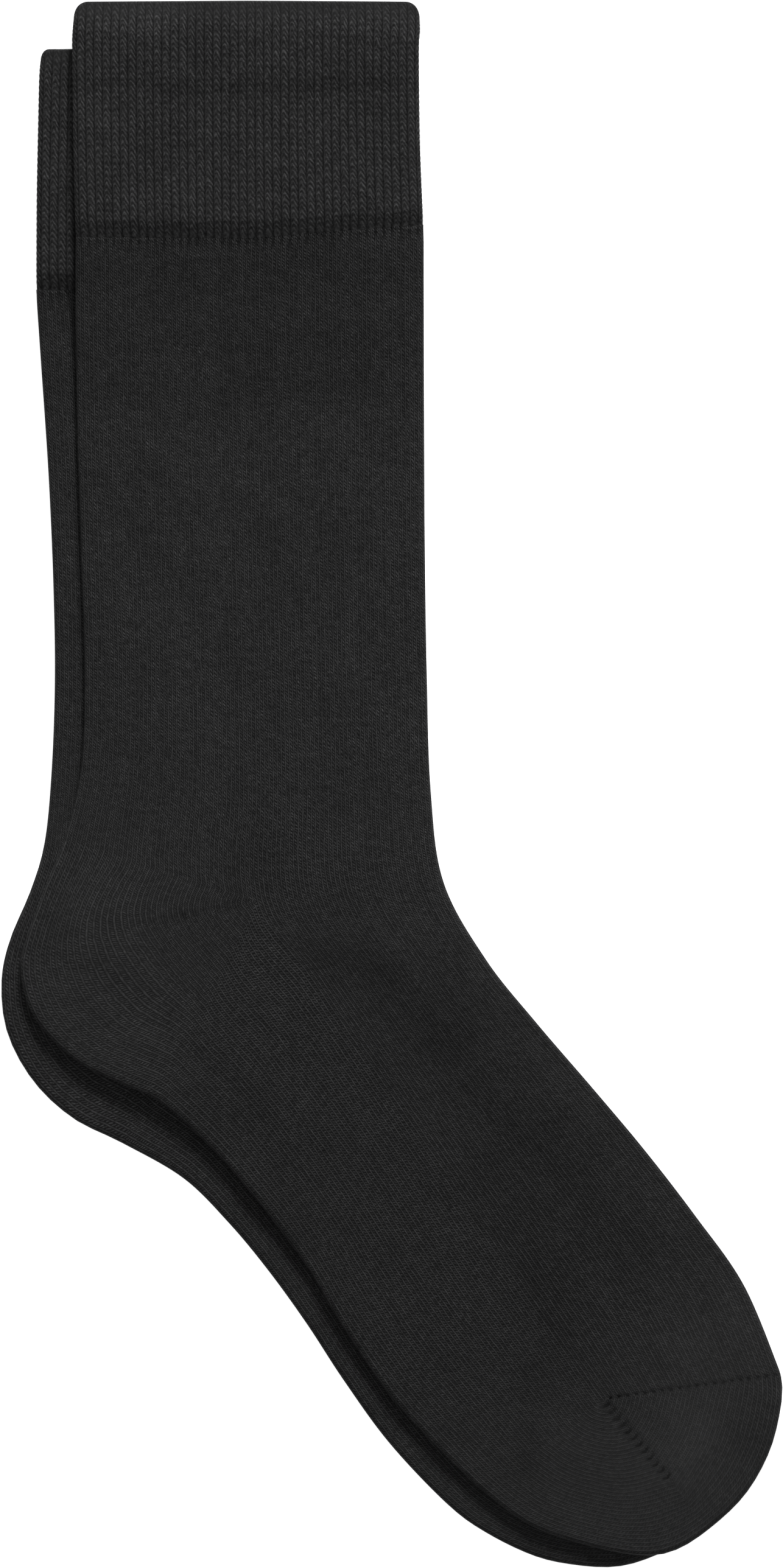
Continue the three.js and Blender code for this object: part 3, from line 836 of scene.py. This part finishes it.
def edge_faded(relief_of, places, total):
    """The cuff's stitches, shallower in the first courses and where the cuff meets the leg, into which
    the middle of each column runs a little further than its sides."""
    share = (smooth(places / MOUTH_RISE) * smooth((total - places) / END_FADE))[:, None]
    last = END_RELIEF * smooth((places - total + END_RUN) / END_RUN)[:, None]
    return lambda wale, course, groove: (
        relief_of(wale, course, groove) * share
        - last * (np.cos(2 * np.pi * wale) + 0.5 * np.sin(UNEVEN_ENDS * wale) + 0.7)
    )


class Nodes:
    """A short way to write shader arithmetic."""

    def __init__(self, name):
        self.material = bpy.data.materials.new(name)
        self.material.use_nodes = True
        self.tree = self.material.node_tree
        self.tree.nodes.clear()

    def node(self, kind, inputs=(), **settings):
        made = self.tree.nodes.new(kind)
        for key, value in settings.items():
            setattr(made, key, value)
        for key, value in dict(inputs).items():
            if isinstance(value, bpy.types.NodeSocket):
                self.tree.links.new(value, made.inputs[key])
            else:
                made.inputs[key].default_value = value
        return made

    def math(self, operation, *values):
        return self.node("ShaderNodeMath", enumerate(values), operation=operation).outputs[0]

    def ramp(self, value, low, high, to_low=0.0, to_high=1.0):
        inputs = {"Value": value, "From Min": low, "From Max": high, "To Min": to_low, "To Max": to_high}
        return self.node("ShaderNodeMapRange", inputs, interpolation_type="SMOOTHSTEP").outputs[0]

    def noise(self, vector, scale, detail=2.0, roughness=0.5):
        inputs = {"Vector": vector, "Scale": scale, "Detail": detail, "Roughness": roughness}
        return self.node("ShaderNodeTexNoise", inputs).outputs[0]

    def varied(self, shade, noise, amount, low=0.3, high=0.7):
        """The shade made darker and lighter by up to the amount, as the noise goes from low to high."""
        return self.math("MULTIPLY", shade, self.ramp(noise, low, high, 1 - amount, 1 + amount))

    def wave(self, kind, turns):
        """A wave from 0 to 1 with one period for each whole turn."""
        turned = self.math(kind, self.math("MULTIPLY", turns, 2 * np.pi))
        return self.math("MULTIPLY_ADD", turned, 0.5, 0.5)

    def random(self, number):
        """A number from 0 to 1 for each whole number, the same each time."""
        turned = self.math("SINE", self.math("MULTIPLY", number, SCATTER_TURN))
        return self.math("FRACT", self.math("MULTIPLY", turned, SCATTER_SCALE))

    def knit(self):
        """Wale and course numbers, depth of furrows, painted light and shade of the cloth's slopes, and
        tightness, from the mesh.
        """
        uv = self.node("ShaderNodeUVMap", uv_map="knit").outputs[0]
        groove = self.node("ShaderNodeUVMap", uv_map="groove").outputs[0]
        tight = self.node("ShaderNodeUVMap", uv_map="tight").outputs[0]
        split = self.node("ShaderNodeSeparateXYZ", {0: uv}).outputs
        more = self.node("ShaderNodeSeparateXYZ", {0: groove}).outputs
        tight = self.node("ShaderNodeSeparateXYZ", {0: tight}).outputs[0]
        return split[0], split[1], more[0], more[1], tight

    def vector(self, x, y, z=0.0):
        return self.node("ShaderNodeCombineXYZ", {0: x, 1: y, 2: z}).outputs[0]

    def finish(self, shade, furrow_shade_and_sheen, painted_shading, height, bump_distance):
        """A matt cotton surface: charcoal times the painted stitch shade, darker for painted shade in the
        furrows, lighter for painted sheen on loose fibres, and lighter or darker by the painted light and
        shade of the cloth's slopes there, with the height as bump."""
        shade = self.math("MULTIPLY", shade, self.math("SUBTRACT", 1.0, furrow_shade_and_sheen))
        shade = self.math("MULTIPLY", shade, self.math("ADD", painted_shading, 1.0))
        colour = self.node(
            "ShaderNodeMix",
            {"Factor": 1.0, 6: (*CHARCOAL, 1.0), 7: self.vector(shade, shade, shade)},
            data_type="RGBA", blend_type="MULTIPLY",
        ).outputs[2]
        bump = self.node(
            "ShaderNodeBump", {"Strength": BUMP_STRENGTH, "Distance": bump_distance, "Height": height}
        ).outputs[0]
        rough = self.ramp(shade, 0.4, 1.6, 0.95, 0.82)
        shader = self.node("ShaderNodeBsdfPrincipled", {
            "Base Color": colour, "Roughness": rough, "Normal": bump, "Specular IOR Level": SPECULAR,
        }).outputs[0]
        self.tree.links.new(shader, self.node("ShaderNodeOutputMaterial").inputs[0])
        return self.material


CHARCOAL = (0.0217, 0.0217, 0.0219)
SPECULAR = 0.06
# The bump's strength, and its depth in metres.
BUMP_STRENGTH = 0.45
BUMP_BODY = 0.00018
BUMP_CUFF = 0.00015
# Scales of the noise in the yarn, over a metre: single fibres, grain and a slow mottle.
FIBRE_BODY = 2800.0
FIBRE_CUFF = 2400.0
GRAIN_BODY = 850.0
GRAIN_CUFF = 700.0
MOTTLE = 75.0
# Between these courses, down the foot, the stitches get flatter.
FLATTER = (165.0, 235.0)


def body_material():
    """Fine plain knit: a thin bright line up each wale and slanting stitches between the lines, with
    painted light on the loops and painted shade in the gaps.
    """
    n = Nodes("fine_knit")
    wale, course_of_leg, groove, painted_shading, tight = n.knit()
    place = n.node("ShaderNodeTexCoord").outputs["Object"]
    slow = n.vector(n.math("MULTIPLY", wale, 0.3), n.math("MULTIPLY", course_of_leg, 0.2))
    wale = n.math("ADD", wale, n.math("MULTIPLY_ADD", n.noise(slow, 1.0), 0.4, -0.2))
    course = n.math("ADD", course_of_leg, n.math("MULTIPLY_ADD", n.noise(slow, 1.7), 1.6, -0.8))
    stitches = n.vector(wale, course)
    each = n.noise(stitches, 1.9, 1.0)
    from_line = n.math("PINGPONG", wale, 0.5)
    line = n.ramp(from_line, 0.04, 0.2, 1.0, 0.0)
    line = n.math("MULTIPLY", line, n.ramp(n.noise(stitches, 0.7, 2.0), 0.3, 0.7, 0.45, 0.95))
    start = n.random(n.math("FLOOR", wale))
    slant = n.math("MULTIPLY_ADD", n.math("FRACT", wale), -1.5, n.math("ADD", course, start))
    wave = n.wave("SINE", slant)
    patchy = n.ramp(n.noise(stitches, 0.35, 2.0), 0.3, 0.7, 0.65, 1.15)
    patchy = n.varied(patchy, start, 0.1, 0.0, 1.0)
    stitch = n.math("MULTIPLY", wave, n.math("MULTIPLY", n.ramp(each, 0.35, 0.65, 0.6, 1.35), patchy))
    stitch = n.math("MULTIPLY", stitch, n.ramp(course_of_leg, *FLATTER, 1.0, 0.62))
    stitch = n.math("MULTIPLY", stitch, n.ramp(from_line, 0.12, 0.42, 0.2, 1.0))
    height = n.math("MAXIMUM", line, stitch)
    fibre = n.noise(place, FIBRE_BODY, 3.0, 0.75)
    # The stitches' bright loops and dark gaps become painted light and painted shade in the colour, over
    # a bump of the same pattern.
    shade = n.varied(n.math("MULTIPLY_ADD", height, 1.5, 0.22), fibre, 0.22)
    shade = n.math("MULTIPLY_ADD", n.math("SUBTRACT", 0.86, shade), tight, shade)
    shade = n.varied(shade, n.noise(place, GRAIN_BODY, 2.0), 0.1)
    shade = n.math("MULTIPLY", shade, n.ramp(course_of_leg, *FLATTER, 1.0, 1.06))
    shade = n.varied(shade, n.noise(place, MOTTLE, 5.0, 0.65), 0.09, 0.2, 0.8)
    # In the furrows of seams, the gore and the leg's first courses the colour is darkened in uneven dots,
    # a painted shade; where loose fibres make the groove negative the same term lightens the folds, a
    # painted sheen.
    pairs = n.math("MULTIPLY", n.math("COSINE", n.math("MULTIPLY", wale, np.pi)), 0.3)
    single = n.math("MULTIPLY_ADD", n.math("COSINE", n.math("MULTIPLY", wale, 2 * np.pi)), 0.25, pairs)
    uneven = n.math("MULTIPLY_ADD", n.noise(stitches, 0.8, 2.0), 0.9, -0.35)
    uneven = n.math("MULTIPLY_ADD", n.noise(stitches, 0.12), 0.4, uneven)
    furrow_shade_and_sheen = n.math("MULTIPLY", groove, n.math("ADD", single, uneven))
    relief = n.math("MAXIMUM", n.math("MULTIPLY", line, 0.8), n.math("MULTIPLY", stitch, 0.7))
    relief = n.math("MULTIPLY_ADD", fibre, 0.4, relief)
    relief = n.math("MULTIPLY", relief, n.math("MULTIPLY_ADD", tight, -0.8, 1.0))
    relief = n.math("MULTIPLY_ADD", furrow_shade_and_sheen, -1.2, relief)
    return n.finish(shade, furrow_shade_and_sheen, painted_shading, relief, BUMP_BODY)


def cuff_material():
    """Broad columns of looped stitches, with painted light on the loops and painted shade in the grooves
    between the columns.
    """
    n = Nodes("cuff_knit")
    wale, course, groove, painted_shading, _ = n.knit()
    place = n.node("ShaderNodeTexCoord").outputs["Object"]
    column = n.math("FLOOR", wale)
    off = n.math("MULTIPLY_ADD", n.math("SUBTRACT", wale, column), 2.0, -1.0)
    across = n.math("ABSOLUTE", off)
    apex = n.math("ADD", off, 0.12)
    right, left = n.math("MAXIMUM", apex, 0.0), n.math("MAXIMUM", n.math("MULTIPLY", apex, -1.0), 0.0)
    slow = n.vector(wale, n.math("MULTIPLY", course, 0.5))
    jitter = n.math("MULTIPLY_ADD", n.noise(slow, 1.1, 2.0), 1.3, -0.65)
    arm = n.math("ADD", n.math("MULTIPLY_ADD", n.random(column), COLUMN_SHIFT, course), jitter)
    arm = n.math("MULTIPLY_ADD", right, -1.2, arm)
    arm = n.math("MULTIPLY_ADD", n.math("MULTIPLY", left, left), -1.4, arm)
    along_yarn = n.vector(n.math("MULTIPLY", arm, 4.5), off, n.math("MULTIPLY", column, 7.3))
    strands = n.noise(along_yarn, 1.0, 2.0)
    stitches = n.vector(n.math("MULTIPLY", wale, 2.0), course)
    each = n.noise(stitches, 1.3, 2.0)
    wave = n.math("POWER", n.wave("COSINE", arm), 1.3)
    stitch = n.math("MULTIPLY", wave, n.ramp(each, 0.35, 0.65, 0.5, 1.3))
    stitch = n.math("MULTIPLY", stitch, n.math("MULTIPLY_ADD", left, -0.75, 1.0))
    edge = n.math("ADD", across, n.math("MULTIPLY_ADD", each, 0.7, -0.35))
    # The grooves between the columns get a darker colour: painted shade.
    between = n.ramp(edge, 0.66, 0.94, 1.0, 0.54)
    side_line = n.ramp(n.math("ABSOLUTE", n.math("ADD", off, 0.66)), 0.0, 0.2, 0.4, 0.0)
    stitch = n.math("MAXIMUM", stitch, side_line)
    # The loops' bright arms and dark gaps become painted light and painted shade in the colour, over a
    # bump of the same pattern.
    shade = n.varied(n.math("MULTIPLY_ADD", stitch, 1.08, 0.51), strands, 0.2)
    shade = n.math("MULTIPLY", shade, between)
    fibre = n.noise(place, FIBRE_CUFF, 3.0, 0.75)
    shade = n.varied(shade, fibre, 0.28)
    shade = n.varied(shade, n.noise(place, GRAIN_CUFF, 2.0), 0.18)
    shade = n.varied(shade, n.noise(place, MOTTLE, 5.0, 0.65), 0.1, 0.2, 0.8)
    # Near the mouth the stitches fade into a flat grey, set a little darker as painted shade on the
    # mouth's lit rounding.
    plain = n.ramp(course, 0.0, 4.5, 0.6, 0.0)
    shade = n.math("MULTIPLY_ADD", n.math("SUBTRACT", 0.8, shade), plain, shade)
    # Towards the cuff's end the stitches turn irregular and darker on average, a painted shade beside the
    # step onto the leg.
    messy = n.ramp(n.noise(stitches, 1.7, 2.0), 0.3, 0.7, 0.3, 1.3)
    mess = n.math("MULTIPLY", groove, 1.3)
    shade = n.math("MULTIPLY_ADD", n.math("SUBTRACT", messy, shade), mess, shade)
    # Dark holes between the columns at the cuff's end: painted shade.
    furrow_shade_and_sheen = n.math("MULTIPLY", groove, n.ramp(edge, 0.4, 0.85, 0.15, 0.95))
    height = n.math("MULTIPLY_ADD", fibre, 0.6, n.math("MULTIPLY_ADD", strands, 0.6, stitch))
    return n.finish(shade, furrow_shade_and_sheen, painted_shading, height, BUMP_CUFF)


# The camera's height and the length that the picture shows at the height of the cloth, in metres.
CAMERA_HEIGHT = 2.0
PICTURE_LENGTH = 0.425
CLOTH_HEIGHT = 0.004
SENSOR = 36.0


def camera():
    data = bpy.data.cameras.new("camera")
    data.sensor_width = SENSOR
    data.lens = SENSOR * (CAMERA_HEIGHT - CLOTH_HEIGHT) / PICTURE_LENGTH
    thing = bpy.data.objects.new("camera", data)
    thing.location = (0, 0, CAMERA_HEIGHT)
    bpy.context.scene.collection.objects.link(thing)
    bpy.context.scene.camera = thing


# Soft square lamps that face the middle of the pair: place, side and power.
LAMPS = {
    "key": ((0.6, 2.94, 1.65), 0.85, 162.0),
    "fill": ((-0.3, -0.6, 2.6), 1.8, 12.0),
}
WORLD_LIGHT = 0.3
# The table reaches this far each way, and its top is just under the cloth.
TABLE_REACH = 3.0
TABLE_LEVEL = -0.0002
TABLE_GREY = (0.86, 0.86, 0.86, 1)
TABLE_GLOW = 0.75


def lights():
    for name, (place, side, power) in LAMPS.items():
        data = bpy.data.lights.new(name, "AREA")
        data.size, data.energy = side, power
        thing = bpy.data.objects.new(name, data)
        thing.location = place
        thing.rotation_mode = "QUATERNION"
        thing.rotation_quaternion = (-thing.location).to_track_quat("-Z", "Y")
        bpy.context.scene.collection.objects.link(thing)
    world = bpy.data.worlds.new("studio")
    world.use_nodes = True
    world.node_tree.nodes["Background"].inputs[0].default_value = (1, 1, 1, 1)
    world.node_tree.nodes["Background"].inputs[1].default_value = WORLD_LIGHT
    bpy.context.scene.world = world


def floor():
    mesh = bpy.data.meshes.new("floor")
    corners = [
        (TABLE_REACH * x, TABLE_REACH * y, TABLE_LEVEL) for x, y in ((-1, -1), (1, -1), (1, 1), (-1, 1))
    ]
    mesh.from_pydata(corners, [], [(0, 1, 2, 3)])
    thing = bpy.data.objects.new("floor", mesh)
    bpy.context.scene.collection.objects.link(thing)
    n = Nodes("pale_table")
    shader = n.node("ShaderNodeBsdfPrincipled", {
        "Base Color": TABLE_GREY, "Roughness": 0.7,
        "Emission Color": (1, 1, 1, 1), "Emission Strength": TABLE_GLOW,
    }).outputs[0]
    n.tree.links.new(shader, n.node("ShaderNodeOutputMaterial").inputs[0])
    mesh.materials.append(n.material)


def dress(piece, material, nodes):
    piece.data.materials.append(material)
    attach(piece, "root")
    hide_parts(*nodes)


BODY_PIECES = ("leg", "heel", "foot", "toe")


def pair():
    """Both socks. The mesh of the top one is finer: points for each column of the cuff and each wale of
    the body, and the step between rings."""
    fine, broad = body_material(), cuff_material()
    for name, sock, under, density, rests in (
        ("top_sock", TOP_SOCK, on_lower_sock, (8, 3, 2.2), ("lower_sock_cuff_cloth", "lower_sock_cloth")),
        ("lower_sock", LOWER_SOCK, on_table, (5, 2, 2.6), ("floor", "floor")),
    ):
        per_column, per_wale, step = density
        welt = cuff(f"{name}_cuff_cloth", sock, under, per_column)
        dress(welt, broad, [f"{name}_cuff"])
        tube_body = body(f"{name}_cloth", sock, under, per_wale, step)
        nodes = [f"{name}_{piece}" for piece in BODY_PIECES]
        dress(tube_body, fine, nodes)


camera()
lights()
floor()
pair()
bpy.context.scene.view_settings.view_transform = "Standard"
